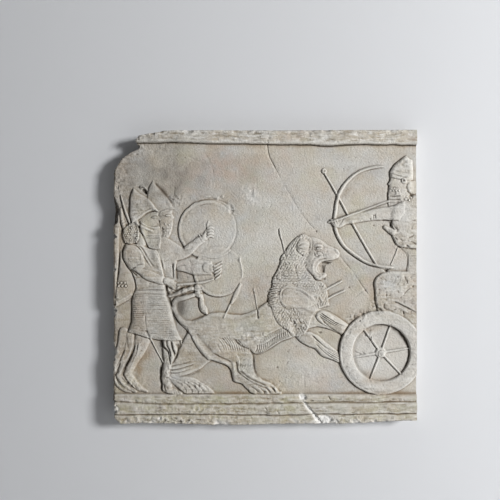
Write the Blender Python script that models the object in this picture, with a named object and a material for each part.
"""A plaster wall relief: a length of a hunting frieze, cast in one piece.

Metres, +Z up, the figures facing -Y. The origin is the centre of the flat back, where the panel hangs
on its wall. Sizes below are in millimetres on the panel's face: u runs right from the left edge, v runs
up from the foot, and a height is measured forward from the sunk ground between the figures.
"""

import math

import bmesh
import bpy
from mathutils import Matrix, Vector

MM = 0.001

# The slab
LENGTH = 520.0
HEIGHT = 500.0
GROUND = 24.0  # thickness of the slab at the sunk ground
FILLET_HEIGHT = 7.5
BASE_HEIGHTS = (6.0, 7.0, 5.0)  # the three base bands, lowest first
STANDING_LINE = 50.0  # the figures stand on the top of the base
SINK = 4.0  # each figure starts this far inside the slab

# How far the figures rise from the ground
FAR = 3.2
MIDDLE = 4.4
BODY = 5.6
NEAR = 6.6
FRONT = 7.4

RIM = 1.3  # the figures' edges are rounded off by this much
POINT_SPACING = 8.0  # the most between two points of a curve that bends
TURN_PER_POINT = math.radians(16)

RIDGE_SLOPE = 0.8  # how far a ridge's edges drop, as a share of its half width
LOCK_DEPTH = 2.2  # from a lock's crest to the foot of it
OVERHANG = 15.0  # the slab is modelled this much too large, then trimmed to its broken outline

PLASTER_COLOUR = (0.60, 0.56, 0.49, 1.0)
PLASTER_ROUGHNESS = 0.85


def place(u, v, forward):
    """A point of the panel in metres, forward of its back by this many millimetres."""
    return Vector(((u - LENGTH / 2) * MM, -forward * MM, (v - HEIGHT / 2) * MM))


def new_object(name, bm, collection):
    mesh = bpy.data.meshes.new(name)
    bm.to_mesh(mesh)
    bm.free()
    made = bpy.data.objects.new(name, mesh)
    collection.objects.link(made)
    return made


def clear_scene():
    for old in list(bpy.data.objects):
        bpy.data.objects.remove(old)


# Outlines

def curve(points):
    """Points along a smooth curve through the given ones. The last is left out, for the next run."""
    knots = [Vector(p) for p in points]
    if len(knots) == 2:
        return knots[:1]
    knots = [2 * knots[0] - knots[1], *knots, 2 * knots[-1] - knots[-2]]
    found = []
    for before, start, end, after in zip(knots, knots[1:], knots[2:], knots[3:]):
        turn = (start - before).xy.angle((after - end).xy, 0.0)
        by_length = round((end - start).length / POINT_SPACING)
        steps = max(1, min(by_length, round(turn / TURN_PER_POINT)))
        for step in range(steps):
            t = step / steps
            found.append(
                start
                + 0.5 * t * (end - before)
                + t * t * (before - 2.5 * start + 2 * end - 0.5 * after)
                + t * t * t * (1.5 * (start - end) + 0.5 * (after - before))
            )
    return found


def shape(*runs):
    """A closed outline of smooth runs that meet in corners."""
    return [point for run in runs for point in curve(run)]


def limb(*stations):
    """The outline of a tapering form with round ends, from its stations (u, v, half width)."""
    line = curve(stations) + [Vector(stations[-1])]
    right, left = [], []
    for i, here in enumerate(line):
        along = line[min(i + 1, len(line) - 1)].xy - line[max(i - 1, 0)].xy
        across = Vector((along.y, -along.x)).normalized() * here.z
        right.append(here.xy + across)
        left.append(here.xy - across)
    ends = []
    for here, side in ((line[-1], right[-1]), (line[0], left[0])):
        spoke = (side - here.xy) * math.sqrt(0.5)
        turned = Vector((-spoke.y, spoke.x))
        ends.append([here.xy + turned + spoke, here.xy + turned - spoke])
    return right + ends[0] + left[::-1] + ends[1]


def sides_of(radius):
    return max(8, round(2 * math.pi * radius / POINT_SPACING))


def round_outline(centre, radius):
    sides = sides_of(radius)
    turns = [2 * math.pi * i / sides for i in range(sides)]
    return [Vector(centre) + radius * Vector((math.cos(a), math.sin(a))) for a in turns]


def counter_clockwise(outline):
    area = sum(a.cross(b) for a, b in zip(outline, outline[1:] + outline[:1]))
    return outline if area > 0 else outline[::-1]


def inset(outline, distance):
    """The outline drawn in by this distance, with its sharpest corners cut short."""
    found = []
    for before, here, after in zip(outline[-1:] + outline[:-1], outline, outline[1:] + outline[:1]):
        first, second = (here - before).normalized(), (after - here).normalized()
        inward = Vector((-first.y - second.y, first.x + second.x))
        squared = max(inward.length_squared, 1.0)
        found.append(here + inward * (2 * distance / squared))
    return found


# Raised forms

def loft(name, rings, collection):
    """A closed body through rings of equal length, from the hindmost to the foremost."""
    bm = bmesh.new()
    made = [[bm.verts.new(point) for point in ring] for ring in rings]
    for lower, upper in zip(made, made[1:]):
        for i in range(len(lower)):
            j = (i + 1) % len(lower)
            bm.faces.new((lower[i], lower[j], upper[j], upper[i]))
    bm.faces.new(made[0][::-1])
    bm.faces.new(made[-1])
    return new_object(name, bm, collection)


def raised(name, outline, height, rim=RIM):
    """A form with this outline, rising from inside the slab to its height, its edge rounded off."""
    outline = counter_clockwise(outline)
    top = GROUND + height
    rings = (
        [place(p.x, p.y, GROUND - SINK) for p in outline],
        [place(p.x, p.y, top - rim) for p in outline],
        [place(p.x, p.y, top) for p in inset(outline, rim)],
    )
    return loft(name, rings, bpy.data.collections["raised forms"])


def ring(name, centre, inner, outer, height, rim=RIM):
    """A round band, turned from its section."""
    top = GROUND + height
    section = (
        (inner, GROUND - SINK),
        (outer, GROUND - SINK),
        (outer, top - rim),
        (outer - rim, top),
        (inner + rim, top),
        (inner, top - rim),
    )
    sides = sides_of(outer)
    bm = bmesh.new()
    turned = []
    for i in range(sides):
        spoke = Vector((math.cos(2 * math.pi * i / sides), math.sin(2 * math.pi * i / sides)))
        points = [(Vector(centre) + r * spoke, forward) for r, forward in section]
        turned.append([bm.verts.new(place(p.x, p.y, forward)) for p, forward in points])
    for here, after in zip(turned, turned[1:] + turned[:1]):
        for i in range(len(section)):
            j = (i + 1) % len(section)
            bm.faces.new((here[i], after[i], after[j], here[j]))
    return new_object(name, bm, bpy.data.collections["raised forms"])


def ridge(name, stations, height):
    """A thin straight or bending form with a sharp crest, from its stations (u, v, half width)."""
    line = curve(stations) + [Vector(stations[-1])]
    rings = []
    for i, here in enumerate(line):
        along = line[min(i + 1, len(line) - 1)].xy - line[max(i - 1, 0)].xy
        across = Vector((along.y, -along.x)).normalized() * here.z
        right, left = here.xy + across, here.xy - across
        low, top = GROUND - SINK, GROUND + height
        edge = top - RIDGE_SLOPE * here.z
        rings.append([place(*right, low), place(*right, edge), place(*here.xy, top)])
        rings[-1] += [place(*left, edge), place(*left, low)]
    return loft(name, rings, bpy.data.collections["raised forms"])


def lock(name, root, tip, half_width, height):
    """One lock of hair: a leaf with a raised middle, lying on the form beneath it."""
    root, tip = Vector(root), Vector(tip)
    across = Vector((tip.y - root.y, root.x - tip.x)).normalized() * half_width
    widest = root.lerp(tip, 0.4)
    base = [root, widest + across, tip, widest - across]
    bm = bmesh.new()
    low = [bm.verts.new(place(*p, GROUND + height - LOCK_DEPTH)) for p in base]
    crest = bm.verts.new(place(*widest, GROUND + height))
    bm.faces.new(low[::-1])
    for here, after in zip(low, low[1:] + low[:1]):
        bm.faces.new((here, after, crest))
    return new_object(name, bm, bpy.data.collections["raised forms"])


def inside(outline, point):
    """Whether the point lies inside the outline."""
    crossings = 0
    for a, b in zip(outline, outline[1:] + outline[:1]):
        if (a.y > point.y) != (b.y > point.y):
            crossings += point.x < a.x + (b.x - a.x) * (point.y - a.y) / (b.y - a.y)
    return crossings % 2 == 1


# The slab, its fillet and its base

def groove(profile, v, below, above):
    """A scored line between two bands of the base."""
    profile += [(v - 1.6, below), (v, min(below, above) - 2.2), (v + 1.6, above)]


def slab_profile(u, lower_groove, upper_groove, fillet_foot):
    """The moulding's section at u, from its front at the foot to its front at the top, then the back."""
    lowest, middle, top = BASE_HEIGHTS
    profile = [(-OVERHANG, lowest)]
    groove(profile, lower_groove, lowest, middle)
    groove(profile, upper_groove, middle, top)
    profile += [(STANDING_LINE - 1.5, top), (STANDING_LINE, top - 1.5), (STANDING_LINE, 0.0)]
    profile += [(fillet_foot, 0.0), (fillet_foot, FILLET_HEIGHT - 2.0), (fillet_foot + 2.0, FILLET_HEIGHT)]
    profile += [(HEIGHT + OVERHANG, FILLET_HEIGHT)]
    front = [place(u, v, GROUND + forward) for v, forward in profile]
    return front + [place(u, HEIGHT + OVERHANG, 0.0), place(u, -OVERHANG, 0.0)]


def slab(collection):
    """The moulding, whose lines wander a little along its length."""
    stations = (
        (-OVERHANG, 16.0, 38.0, 480.0),
        (40.0, 16.0, 35.0, 480.0),
        (100.0, 16.0, 33.0, 480.0),
        (200.0, 15.0, 33.0, 478.0),
        (300.0, 14.0, 34.0, 477.0),
        (380.0, 16.0, 36.0, 475.0),
        (450.0, 16.0, 34.5, 477.0),
        (LENGTH + OVERHANG, 17.0, 37.0, 476.0),
    )
    return loft("relief_panel", [slab_profile(*station) for station in stations], collection)


def broken_outline():
    """The panel's outline: a worn left edge, a broken corner, and a square cut on the right."""
    left = ((3, 390), (9, 377), (12, 350), (4, 335), (3, 260), (4, 190), (8, 165), (4, 120), (2, 50))
    corner = ((45, 491), (40, 480), (45, 470), (25, 459), (15, 452), (5, 437), (3, 412), (3, 390))
    foot = ((2, 50), (3, 40), (7.5, 34), (7, 16), (5, 8), (15, 0))
    return shape(
        ((15, 0), (110, 0), (200, -2), (300, 0), (420, 1), (LENGTH, 5.5)),
        ((LENGTH, 5.5), (LENGTH, HEIGHT + 1)),
        ((LENGTH, HEIGHT + 1), (300, HEIGHT), (110, HEIGHT), (45, 491)),
        corner,
        left,
        foot,
    )


def silhouette(collection):
    """What trims the slab and the forms that run past its edges."""
    outline = counter_clockwise(broken_outline())
    behind, before = -OVERHANG, GROUND + OVERHANG
    rings = [[place(p.x, p.y, forward) for p in outline] for forward in (behind, before)]
    return loft("silhouette", rings, collection)


# The attendants at the left

def quiver():
    case = shape(
        ((13, 298), (19, 287), (27, 267), (36, 252), (40, 230), (39, 222)),
        ((39, 222), (22, 210), (6, 199)),
        ((6, 199), (8, 240), (12, 270), (13, 298)),
    )
    strip = shape(
        ((-5, 205), (7, 207), (8, 250), (11, 290), (12, 335)),
        ((12, 335), (-5, 335)),
        ((-5, 335), (-5, 205)),
    )
    raised("quiver", case, MIDDLE - 0.2)
    raised("edge_strip", strip, FAR - 1.0)
    ridge("quiver_arrow_1", ((34, 330, 2.2), (21, 365, 2.2), (15, 389, 1.6)), MIDDLE + 0.5)
    ridge("quiver_arrow_2", ((24, 318, 3.0), (16, 342, 3.0), (14, 364, 2.2)), MIDDLE)
    ridge("quiver_strap", ((2, 197, 2.2), (20, 208, 2.2), (37, 218, 2.2)), MIDDLE + 1.4)
    for i in range(3):
        raised(f"quiver_boss_{i}", round_outline((11.5 + 6 * i, 237), 2.6), MIDDLE + 1.0, rim=0.7)


def left_legs():
    """The legs of those who stand behind, and the near attendant's own two."""
    legs = (
        ("leg_1", FAR, ((19, 152, 8), (12, 120, 9), (3, 95, 6), (-3, 80, 5))),
        ("foot_1", FAR, ((4, 76, 4), (14, 64, 5), (26, 57, 3.5), (38, 54, 2))),
        ("leg_2", MIDDLE, ((31, 150, 7), (29, 128, 8), (19, 104, 6), (13, 84, 4.5))),
        ("foot_2", MIDDLE, ((11, 80, 5), (19, 68, 5), (29, 59, 3.6), (37, 54.5, 2))),
        ("leg_3", BODY, ((50, 150, 14), (42, 122, 9.5), (33, 100, 7), (27, 84, 6))),
        ("foot_3", BODY, ((26, 80, 6), (36, 68, 6), (47, 59, 4), (57, 55, 2.4))),
        ("front_leg", NEAR, ((90, 148, 11), (92, 122, 9), (95, 104, 6.5), (91, 88, 6), (94, 62, 7))),
        ("front_foot", NEAR, ((92, 56, 5.5), (104, 53, 4), (116, 50.5, 2.2))),
    )
    for name, height, stations in legs:
        raised(name, limb(*stations), height)
    tassels = ((87, 91, 100), (96, 100, 103), (105, 108, 105), (113, 113, 106))
    for i, (top, middle, end) in enumerate(tassels):
        ridge(f"tassel_{i}", ((top, 144, 3.6), (middle, 126, 3.4), (end, 106, 1.6)), NEAR + 0.9)


def far_attendant():
    helmet = shape(
        ((58, 372), (61, 399), (68, 414)),
        ((68, 414), (79, 402), (92, 387), (107, 365)),
        ((107, 365), (93, 362), (76, 356)),
        ((76, 356), (58, 372)),
    )
    head = shape(
        ((78, 364), (104, 365)),
        ((104, 365), (103.5, 358)),
        ((103.5, 358), (107, 350.5), (104, 348.5)),
        ((104, 348.5), (104.5, 342), (104, 330), (100, 317)),
        ((100, 317), (84, 315), (78, 364)),
    )
    body = shape(
        ((82, 318), (100, 312), (118, 303)),
        ((118, 303), (135, 289), (122, 282), (111, 278)),
        ((111, 278), (110, 260), (112, 243)),
        ((112, 243), (90, 246), (70, 280), (82, 318)),
    )
    far_arm = limb((110, 291, 8), (125, 297.5, 8), (143, 307, 6.8), (154, 315, 6))
    raised("far_arm", far_arm, MIDDLE - 0.4)
    lower_arm = limb((104, 268, 7), (118, 270, 9), (135, 267.5, 11), (152, 266, 11.5), (170, 265, 9))
    raised("lower_arm", lower_arm, MIDDLE - 0.2)
    raised("far_body", body, MIDDLE)
    raised("far_head", head, MIDDLE + 0.4)
    raised("far_helmet", helmet, MIDDLE)
    for i, u in enumerate((100, 106)):
        ridge(f"far_fold_{i}", ((u, 284, 1.4), (u, 264, 2.0), (u - 1, 246, 2.2)), MIDDLE + 1.0)
    for i in range(3):
        ridge(f"far_curls_{i}", ((86, 322 + 7 * i, 2.4), (101 + i, 322 + 7 * i, 2.4)), MIDDLE + 1.2)
    raised("far_hand", limb((159, 319, 7), (167, 324, 9.5)), MIDDLE + 0.4)
    ridge("bracelet", ((150, 321, 2.2), (158, 309, 2.2)), MIDDLE + 0.8)
    ridge("far_thumb", ((163, 328, 3), (162.5, 347, 2.4)), MIDDLE + 0.5)
    for i in range(3):
        ridge(f"far_finger_{i}", ((162, 328 - 5 * i, 2.0), (175, 330 - 6 * i, 2.0)), BODY + 0.3)
    raised("lower_hand", limb((173, 264, 8.5), (181, 262, 9.5)), MIDDLE + 0.4)
    ridge("lower_thumb", ((174, 273, 2.2), (187, 276, 2.0)), BODY)
    for i in range(4):
        ridge(f"lower_finger_{i}", ((178, 269 - 5 * i, 2.2), (193 - 3 * i, 266 - 6 * i, 1.8)), BODY + 0.4)


def shields():
    for name, centre, radius in (("upper_shield", (162, 331.5), 50.0), ("lower_shield", (181, 259), 43.0)):
        raised(name, round_outline(centre, radius), FAR - 0.9)
        ring(name + "_rim", centre, radius - 7.0, radius, FAR)


def near_attendant():
    helmet = shape(
        ((33, 341), (29, 360), (30, 380), (36, 403)),
        ((36, 403), (45, 394.5), (60, 385), (71, 374), (80, 359)),
        ((80, 359), (70, 362), (58, 358), (47, 349)),
        ((47, 349), (33, 341)),
    )
    head = shape(
        ((42, 345), (58, 358), (70, 362), (80, 361)),
        ((80, 361), (79.5, 355)),
        ((79.5, 355), (83.5, 347), (80, 345)),
        ((80, 345), (80.5, 339), (80, 334)),
        ((80, 334), (50, 326), (42, 345)),
    )
    beard = shape(
        ((50, 346), (50, 330), (56, 314), (62, 299)),
        ((62, 299), (72, 296.5), (82, 298)),
        ((82, 298), (83, 318), (80, 337)),
        ((80, 337), (66, 336), (50, 346)),
    )
    hair = shape(
        ((33, 343), (22, 335), (18, 322), (22, 307)),
        ((22, 307), (40, 306), (57, 309)),
        ((57, 309), (52, 328), (46, 348)),
        ((46, 348), (33, 343)),
    )
    torso = shape(
        ((28, 266), (19, 280), (19, 293), (24, 306)),
        ((24, 306), (45, 307), (62, 299), (75, 297)),
        ((75, 297), (82, 283), (87, 264), (92, 238), (93, 225)),
        ((93, 225), (40, 225)),
        ((40, 225), (39, 243), (33, 258), (28, 266)),
    )
    kilt = shape(
        ((40, 227), (34, 212), (33, 190), (32, 172), (27, 156)),
        ((27, 156), (45, 150), (62, 145), (78, 142)),
        ((78, 142), (120, 141)),
        ((120, 141), (110, 160), (104, 180), (102, 196), (97, 213), (93, 227)),
        ((93, 227), (40, 227)),
    )
    raised("kilt", kilt, NEAR)
    raised("torso", torso, NEAR + 0.3)
    raised("head", head, NEAR + 0.2)
    raised("beard", beard, NEAR + 0.8)
    raised("hair", hair, NEAR + 0.6)
    raised("helmet", helmet, NEAR)
    ridge("helmet_rim", ((47, 349, 1.8), (58, 357.5, 1.8), (70, 361, 1.8), (79, 359.5, 1.6)), NEAR + 1.2)
    ridge("belt", ((42, 224.5, 3.0), (92, 224.5, 3.0)), NEAR + 1.0)
    ridge("kilt_wrap", ((57, 188, 1.2), (58, 172, 1.6), (61, 158, 1.8), (65, 146, 1.8)), NEAR + 0.8)
    ridge("chest_strap", ((44, 304, 2.2), (54, 292, 2.2), (60, 281, 2.2), (72, 268, 2.2)), NEAR + 1.3)
    for i in range(5):
        ridge(f"beard_curls_{i}", ((60 - 1.5 * i, 302 + 7 * i, 2.6), (81, 303 + 7 * i, 2.6)), NEAR + 1.7)
    for i in range(4):
        for j in range(4):
            root = Vector((28 + 8 * j - i, 336 - 8 * i))
            lock(f"hair_lock_{i}_{j}", root, root + Vector((-1, -8)), 3.4, NEAR + 2.2)
    raised("upper_arm", limb((34, 294, 11), (34, 280, 13.5), (41, 266, 9)), FRONT, rim=2.5)
    forearm = limb((44, 261, 7.5), (60, 254, 9), (78, 247.5, 8), (92, 242, 6.5), (100, 239, 6))
    raised("forearm", forearm, FRONT + 0.5)
    raised("fist", limb((101, 237, 7.5), (108, 233, 9)), FRONT + 0.9, rim=2.0)
    ridge("dagger", ((110, 237, 3), (135, 238, 2.2), (155, 240, 1.8), (173, 246, 1.2)), NEAR)


def grasped_tail():
    """The lion's tail, drawn up and held, with its tuft hanging from the knot."""
    tail = limb((134, 166, 8), (120, 173, 5.5), (106, 197, 4.8), (114, 210, 4), (142, 220, 3.2))
    raised("tail", tail, BODY, rim=1.0)
    ridge("tail_loop", ((98, 219, 4), (112, 223, 4), (126, 227, 3.4), (142, 229, 3)), BODY)
    ridge("tail_tuft", ((147, 224, 4.5), (151, 208, 5), (154, 197, 6.5), (160, 189, 3)), BODY)
    raised("tail_knot", limb((146, 232, 6), (147, 224, 6)), BODY + 0.5)


# The lion

def lion_body():
    far_thigh = shape(
        ((131, 157), (121, 141), (113, 125), (106, 111), (98, 102), (88, 97)),
        ((88, 97), (86, 89), (92, 81)),
        ((92, 81), (113, 79), (130, 84), (150, 92), (171, 106)),
        ((171, 106), (155, 130), (131, 157)),
    )
    far_paw = shape(
        ((88, 92), (92, 79), (104, 68), (117, 56), (124, 50)),
        ((124, 50), (177, 50)),
        ((177, 50), (165, 62), (150, 72), (138, 79), (114, 83), (88, 92)),
    )
    trunk = shape(
        ((116, 170), (137, 173), (163, 186), (190, 188.5), (220, 185.5), (240, 192), (263, 206)),
        ((263, 206), (290, 215), (312, 148)),
        ((312, 148), (292, 141), (272, 128.5), (256, 119.5), (236, 122)),
        ((236, 122), (205, 115), (165, 112), (131, 155), (116, 170)),
    )
    near_leg = shape(
        ((131, 158), (140, 141), (150, 125), (163, 110)),
        ((163, 110), (180, 104), (196, 98), (203, 87), (204, 76), (209, 70)),
        ((209, 70), (221, 66), (231, 56.5), (243, 49)),
        ((243, 49), (294, 49)),
        ((294, 49), (283, 58), (268, 70.5), (256, 75), (245, 85), (242, 100), (241, 114), (236, 124)),
        ((236, 124), (218, 136), (190, 146), (160, 152), (131, 158)),
    )
    raised("far_thigh", far_thigh, FAR)
    raised("far_paw", far_paw, FAR + 0.5)
    raised("trunk", trunk, BODY, rim=2.5)
    raised("near_leg", near_leg, BODY + 0.7, rim=1.6)
    tendons = (
        ("hock", ((214, 104, 1.6), (215, 92, 2.2), (218, 82, 2.2))),
        ("paw_upper", ((220, 89, 1.8), (233, 80.5, 2.2), (247, 73, 2.0), (264, 65, 1.6))),
        ("paw_lower", ((219, 82, 1.8), (231, 74, 2.2), (245, 68, 2.0), (262, 61, 1.6))),
        ("toe_1", ((233, 60, 1.8), (247, 52, 2.2))),
        ("toe_2", ((252, 61, 2.0), (264, 52, 2.6))),
        ("toe_3", ((266, 64, 2.0), (280, 52, 2.6))),
        ("thigh_band", ((144, 155, 2.0), (152, 143, 2.2), (163, 131, 2.4), (203, 105, 1.8))),
        ("thigh_fold_1", ((183, 136, 1.4), (187, 121, 1.8))),
        ("thigh_fold_2", ((190, 141, 1.4), (202, 132, 1.8))),
    )
    for name, stations in tendons:
        ridge(name, stations, BODY + 1.7)
    for i in range(3):
        ridge(f"far_toe_{i}", ((122 + 12 * i, 68 - 2 * i, 1.6), (136 + 14 * i, 54 - i, 2.4)), FAR + 1.5)
    ridge("far_shank", ((94, 92, 2.0), (118, 94, 2.4), (148, 102, 1.8)), FAR + 1.0)
    for i in range(7):
        root = Vector((262 + 7 * i, 136 + 3.6 * i - (5 if i == 0 else 0)))
        lock(f"belly_lock_{i}", root + Vector((-2, 9)), root, 3.4, BODY + 1.6)


def lion_forelegs():
    near = shape(
        ((300, 208), (325, 202), (345, 197), (360, 193.5), (373, 189), (388, 180), (404, 168)),
        ((404, 168), (399, 158), (394, 149)),
        ((394, 149), (382, 156), (372, 160), (355, 164.5), (340, 163), (326, 160)),
        ((326, 160), (305, 180), (300, 208)),
    )
    far = shape(
        ((312, 149), (333, 157), (350, 151), (364, 141), (377, 131), (390, 119)),
        ((390, 119), (388, 103)),
        ((388, 103), (371, 110), (358, 115), (349, 124), (338, 129), (325, 137), (312, 149)),
    )
    raised("far_foreleg", far, MIDDLE)
    raised("near_foreleg", near, NEAR + 0.3, rim=1.6)
    for i in range(4):
        start = Vector((353 + 2 * i, 189 - 5.5 * i))
        end = Vector((398 - 1.5 * i, 168 - 4.5 * i))
        ridge(f"near_tendon_{i}", ((*start, 1.4), (*start.lerp(end, 0.4), 2.3), (*end, 1.8)), NEAR + 1.5)
    for i in range(3):
        start = Vector((348 + 3 * i, 146 - 7 * i))
        end = Vector((384, 123 - 6.5 * i))
        ridge(f"far_tendon_{i}", ((*start, 1.6), (*end, 2.0)), MIDDLE + 1.0)


def mane_outline():
    return shape(
        ((271, 199), (265, 211), (268, 224), (273, 246), (280, 260), (287, 280), (293, 290)),
        ((293, 290), (303, 306), (318, 320), (327, 325), (340, 318), (350, 312)),
        ((350, 312), (338, 290), (334, 266), (346, 246)),
        ((346, 246), (358, 243), (367, 232), (369, 219), (371, 203)),
        ((371, 203), (352, 193), (338, 175), (333, 158), (322, 150), (309, 148)),
        ((309, 148), (296, 160), (284, 169), (277, 184), (271, 199)),
    )


EAR_CENTRE = (327, 306.5)
EAR_RADIUS = 10.5


def shoulder_outline():
    return shape(
        ((285, 213), (288, 229), (300, 237), (320, 232), (337, 224), (350, 208)),
        ((350, 208), (336, 198), (318, 195), (300, 196), (285, 213)),
    )


def mane_locks():
    """The mane's locks in staggered rows, swept back at the neck and down over the chest."""
    mane = counter_clockwise(mane_outline())
    bare = (counter_clockwise(shoulder_outline()), round_outline(EAR_CENTRE, EAR_RADIUS))
    left, top, spacing, length = 270.0, 311.0, 10.5, 13.5
    foreleg_top, foreleg_start = 196.0, 318.0
    for row in range(15):
        for column in range(11):
            root = Vector((left + spacing * (column + 0.5 * (row % 2)), top - spacing * row))
            turn = math.radians(-118 + 0.42 * (root.x - left))
            tip = root + length * Vector((math.cos(turn), math.sin(turn)))
            ends = (root, tip, root.lerp(tip, 0.5))
            on_foreleg = root.x > foreleg_start and root.y < foreleg_top
            on_bare = any(inside(outline, end) for outline in bare for end in ends)
            on_mane = all(inside(inset(mane, 3.0), end) for end in ends)
            if on_mane and not on_bare and not on_foreleg:
                lock(f"mane_lock_{row}_{column}", root, tip, 4.4, NEAR + 1.8)


def lion_head():
    face = shape(
        ((340, 318.5), (350, 317), (358, 312.5), (366, 306), (377, 300)),
        ((377, 300), (386, 294), (388.5, 287), (382, 279)),
        ((382, 279), (371, 278.5), (362, 276.5), (355, 271)),
        ((355, 271), (350, 265), (353, 259.5)),
        ((353, 259.5), (361, 257.5), (368, 252)),
        ((368, 252), (359, 247), (353, 243), (347, 245.5), (342, 252), (333, 262)),
        ((333, 262), (331, 278), (337, 294), (340, 318.5)),
    )
    raised("mane", mane_outline(), NEAR, rim=2.0)
    raised("shoulder", shoulder_outline(), FRONT)
    raised("face", face, FRONT + 0.4, rim=1.8)
    ring("ear", EAR_CENTRE, 4.5, EAR_RADIUS, FRONT + 0.9, rim=1.0)
    raised("eye", limb((350, 301, 3.0), (356, 301.5, 2.6)), FRONT + 1.4, rim=1.2)
    ridge("brow", ((345, 307, 1.6), (355, 308, 2.0), (365, 302, 1.8)), FRONT + 1.5)
    ridge("lip", ((352, 279, 1.6), (364, 281, 2.2), (380, 283, 2.0)), FRONT + 1.3)
    ridge("ruff", ((338, 312, 1.8), (336, 292, 2.2), (330, 276, 2.0), (334, 261, 1.6)), FRONT + 1.0)
    mane_locks()


def arrows():
    """Three arrows in the lion's back and two in its chest, with the feathers of those that show."""
    shafts = (
        ("back_arrow_1", ((190, 177, 1.6), (201, 199, 1.8), (210, 217, 1.8)), BODY + 0.6),
        ("feathers_1", ((205, 206, 2.0), (212, 221, 4.2), (218, 236, 2.2)), FAR + 0.6),
        ("back_arrow_2", ((296, 286, 1.8), (292, 303, 1.8), (288, 316, 1.8)), FAR),
        ("feathers_2", ((289, 314, 2.2), (286.5, 331, 2.6)), FAR + 0.4),
        ("back_arrow_3", ((248, 184, 1.2), (246, 206, 1.4), (243, 229, 1.8)), FAR - 1.0),
        ("chest_arrow_1", ((360, 225, 1.9), (392, 242.5, 1.9)), FAR + 0.4),
        ("chest_arrow_2", ((364, 208, 1.9), (396, 225.5, 1.9)), FAR + 0.4),
    )
    for name, stations, height in shafts:
        ridge(name, stations, height)


# The archer and the chariot

def bow_and_spear():
    ridge("spear", ((365, 425, 1.9), (384, 392, 2.1), (413, 338, 2.2), (453, 270, 2.2)), FAR)
    raised("spear_finial", round_outline((362.5, 431), 4.4), FAR, rim=1.2)
    upper_bow = limb((461, 438, 1.6), (433, 434.5, 2.3), (408, 419, 2.8), (389.5, 395, 3.2), (379, 340, 3.0))
    lower_bow = limb((379, 342, 3.0), (387, 318, 3.0), (404, 295.5, 2.7), (440, 272, 2.4), (481, 266, 2.2))
    raised("upper_bow", upper_bow, MIDDLE, rim=1.1)
    raised("lower_bow", lower_bow, MIDDLE, rim=1.1)
    ridge("bow_string", ((477, 271, 1.0), (484, 288, 1.0), (490, 303, 1.0)), 1.4)
    ridge("drawn_arrow", ((371, 344, 2.2), (420, 360.5, 2.2), (474, 380.5, 2.2)), NEAR + 0.6)


def archer():
    hat = shape(
        ((503, 458), (494, 452), (485, 445), (479, 439), (474, 430)),
        ((474, 430), (474, 420)),
        ((474, 420), (505, 415), (516, 417)),
        ((516, 417), (513.5, 442), (503, 458)),
    )
    head = shape(
        ((474, 427), (474, 416), (470.5, 409)),
        ((470.5, 409), (473, 406), (472.5, 398)),
        ((472.5, 398), (500, 380), (512, 400), (510, 425)),
        ((510, 425), (474, 427)),
    )
    beard = shape(
        ((472.5, 404), (471, 392), (470, 374), (475, 364)),
        ((475, 364), (488, 362.5), (494, 366)),
        ((494, 366), (497, 385), (490, 404)),
        ((490, 404), (472.5, 404)),
    )
    body = shape(
        ((484, 372), (500, 386), (535, 392)),
        ((535, 392), (535, 252)),
        ((535, 252), (503, 254)),
        ((503, 254), (504, 280), (497, 296), (489, 302)),
        ((489, 302), (482, 315), (477, 325), (478, 345), (484, 372)),
    )
    bow_arm = shape(
        ((372, 348), (388, 352), (405, 357), (430, 362), (455, 368), (492, 378)),
        ((492, 378), (500, 360), (490, 345)),
        ((490, 345), (475, 347), (450, 347), (430, 344), (415, 341.5), (400, 340)),
        ((400, 340), (389, 334), (380, 336), (374, 341)),
        ((374, 341), (372, 348)),
    )
    raised("archer_body", body, BODY)
    raised("archer_head", head, BODY)
    raised("archer_hat", hat, MIDDLE + 0.4)
    raised("archer_beard", beard, BODY + 0.5)
    raised("archer_hair", round_outline((514, 399), 14.0), BODY + 0.3)
    raised("archer_ear", round_outline((497, 414.5), 3.6), BODY + 0.9, rim=1.0)
    ridge("hat_band", ((475, 424, 2.2), (495, 420, 2.2), (515, 418, 2.2)), BODY + 0.2)
    for i in range(4):
        ridge(f"archer_curls_{i}", ((473, 370 + 8 * i, 2.8), (494, 371 + 8 * i, 2.8)), BODY + 1.4)
    for i in range(6):
        lock(f"fringe_{i}", (488 + 6 * i, 312 - i), (492 + 6 * i, 301 - i), 2.8, BODY + 1.6)
    raised("bow_arm", bow_arm, BODY + 0.3, rim=2.0)
    raised("archer_grip", limb((468, 334, 5.0), (478, 328, 5.5), (487, 318, 6.0)), BODY + 0.2)


WHEEL_CENTRE = Vector((459.5, 120.5))
WHEEL_RADIUS = 72.0
RIM_WIDTH = 23.5
SPOKE_ANGLES = (10, 71, 126, 191, 248, 313)  # hand carved, so not quite even


def spoke_point(angle, radius):
    return WHEEL_CENTRE + radius * Vector((math.cos(math.radians(angle)), math.sin(math.radians(angle))))


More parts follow.
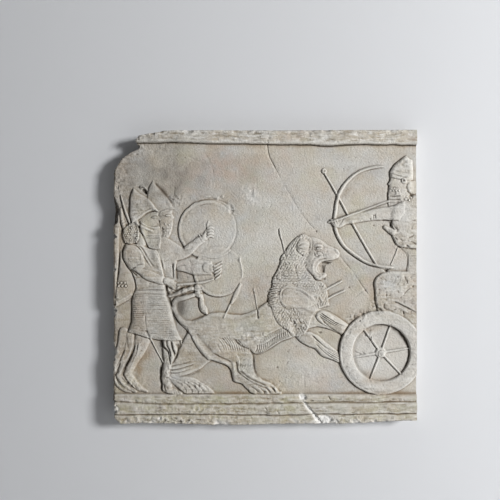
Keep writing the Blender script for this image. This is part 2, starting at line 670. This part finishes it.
def chariot():
    under_rim = WHEEL_RADIUS - RIM_WIDTH / 2
    box = shape(
        ((452, 200), (449, 216), (448, 235), (449.5, 246), (459, 256)),
        ((459, 256), (470, 259), (485, 260.5), (535, 258)),
        ((535, 258), spoke_point(-2, under_rim + 14)),
        [spoke_point(angle, under_rim) for angle in range(0, 121, 20)],
        (spoke_point(120, under_rim), (452, 200)),
    )
    raised("chariot_box", box, MIDDLE)
    raised("chariot_pole", limb((462, 206, 6), (484, 198, 6), (507, 188, 6), (530, 178, 6)), MIDDLE + 0.8)
    ridge("box_slash_1", ((499, 252, 1.8), (506, 236, 1.8)), MIDDLE + 0.9)
    ridge("box_slash_2", ((498, 221, 1.8), (509, 231, 1.8)), MIDDLE + 0.9)
    ring("wheel_rim", WHEEL_CENTRE, WHEEL_RADIUS - RIM_WIDTH, WHEEL_RADIUS, NEAR + 0.4, rim=1.6)
    for i, angle in enumerate(SPOKE_ANGLES):
        start, end = spoke_point(angle, 4.0), spoke_point(angle, WHEEL_RADIUS - RIM_WIDTH + 4.0)
        ridge(f"spoke_{i}", ((*start, 3.6), (*end, 2.6)), FAR + 0.4)
    raised("hub", round_outline(WHEEL_CENTRE, 11.0), MIDDLE, rim=1.5)
    ring("hub_ring", WHEEL_CENTRE, 3.0, 6.5, MIDDLE + 0.9, rim=0.6)


# Losses

def chip(name, centre, size, depth, forward, turn=0.0):
    """A shallow flake knocked out of the face that lies this far forward."""
    bm = bmesh.new()
    bmesh.ops.create_icosphere(bm, subdivisions=1, radius=1.0)
    for vert in bm.verts:
        flat = Vector((vert.co.x * size[0] / 2, vert.co.z * size[1] / 2))
        flat.rotate(Matrix.Rotation(math.radians(turn), 2))
        flat += Vector(centre)
        vert.co = place(flat.x, flat.y, forward - vert.co.y * depth)
    return new_object(name, bm, bpy.data.collections["losses"])


def losses():
    base_face = GROUND + BASE_HEIGHTS[1]
    chip("gash", (343, 20), (58, 9), 5.0, base_face + 1.0, turn=-50)
    chip("fresh_chip", (326, 46), (16, 10), 4.0, base_face)
    chip("foot_chip", (362, 6), (34, 12), 4.0, base_face)
    chip("left_chip", (82, 8), (14, 8), 3.0, base_face)
    chip("shield_chip", (204, 367), (12, 22), 3.0, GROUND + FAR)


# The casting

def plaster():
    material = bpy.data.materials.new("plaster")
    material.use_nodes = True
    shader = material.node_tree.nodes["Principled BSDF"]
    shader.inputs["Base Color"].default_value = PLASTER_COLOUR
    shader.inputs["Roughness"].default_value = PLASTER_ROUGHNESS
    shader.inputs["Metallic"].default_value = 0.0
    return material


def hidden_collection(name):
    collection = bpy.data.collections.new(name)
    bpy.context.scene.collection.children.link(collection)
    return collection


def cut_or_join(panel, operation, collection):
    """A Boolean of the panel with every form in the collection, which are guides and not pieces."""
    for form in collection.objects:
        form.hide_render = True
        form.display_type = "WIRE"
    modifier = panel.modifiers.new(collection.name, "BOOLEAN")
    modifier.operation = operation
    modifier.operand_type = "COLLECTION"
    modifier.collection = collection
    modifier.solver = "EXACT"


clear_scene()
forms = hidden_collection("raised forms")
chips = hidden_collection("losses")
edges = hidden_collection("edges")
quiver()
left_legs()
shields()
far_attendant()
near_attendant()
lion_body()
lion_forelegs()
grasped_tail()
lion_head()
arrows()
chariot()
bow_and_spear()
archer()
losses()
silhouette(edges)
panel = slab(bpy.context.scene.collection)
cut_or_join(panel, "UNION", forms)
cut_or_join(panel, "DIFFERENCE", chips)
cut_or_join(panel, "INTERSECT", edges)
panel.data.materials.append(plaster())
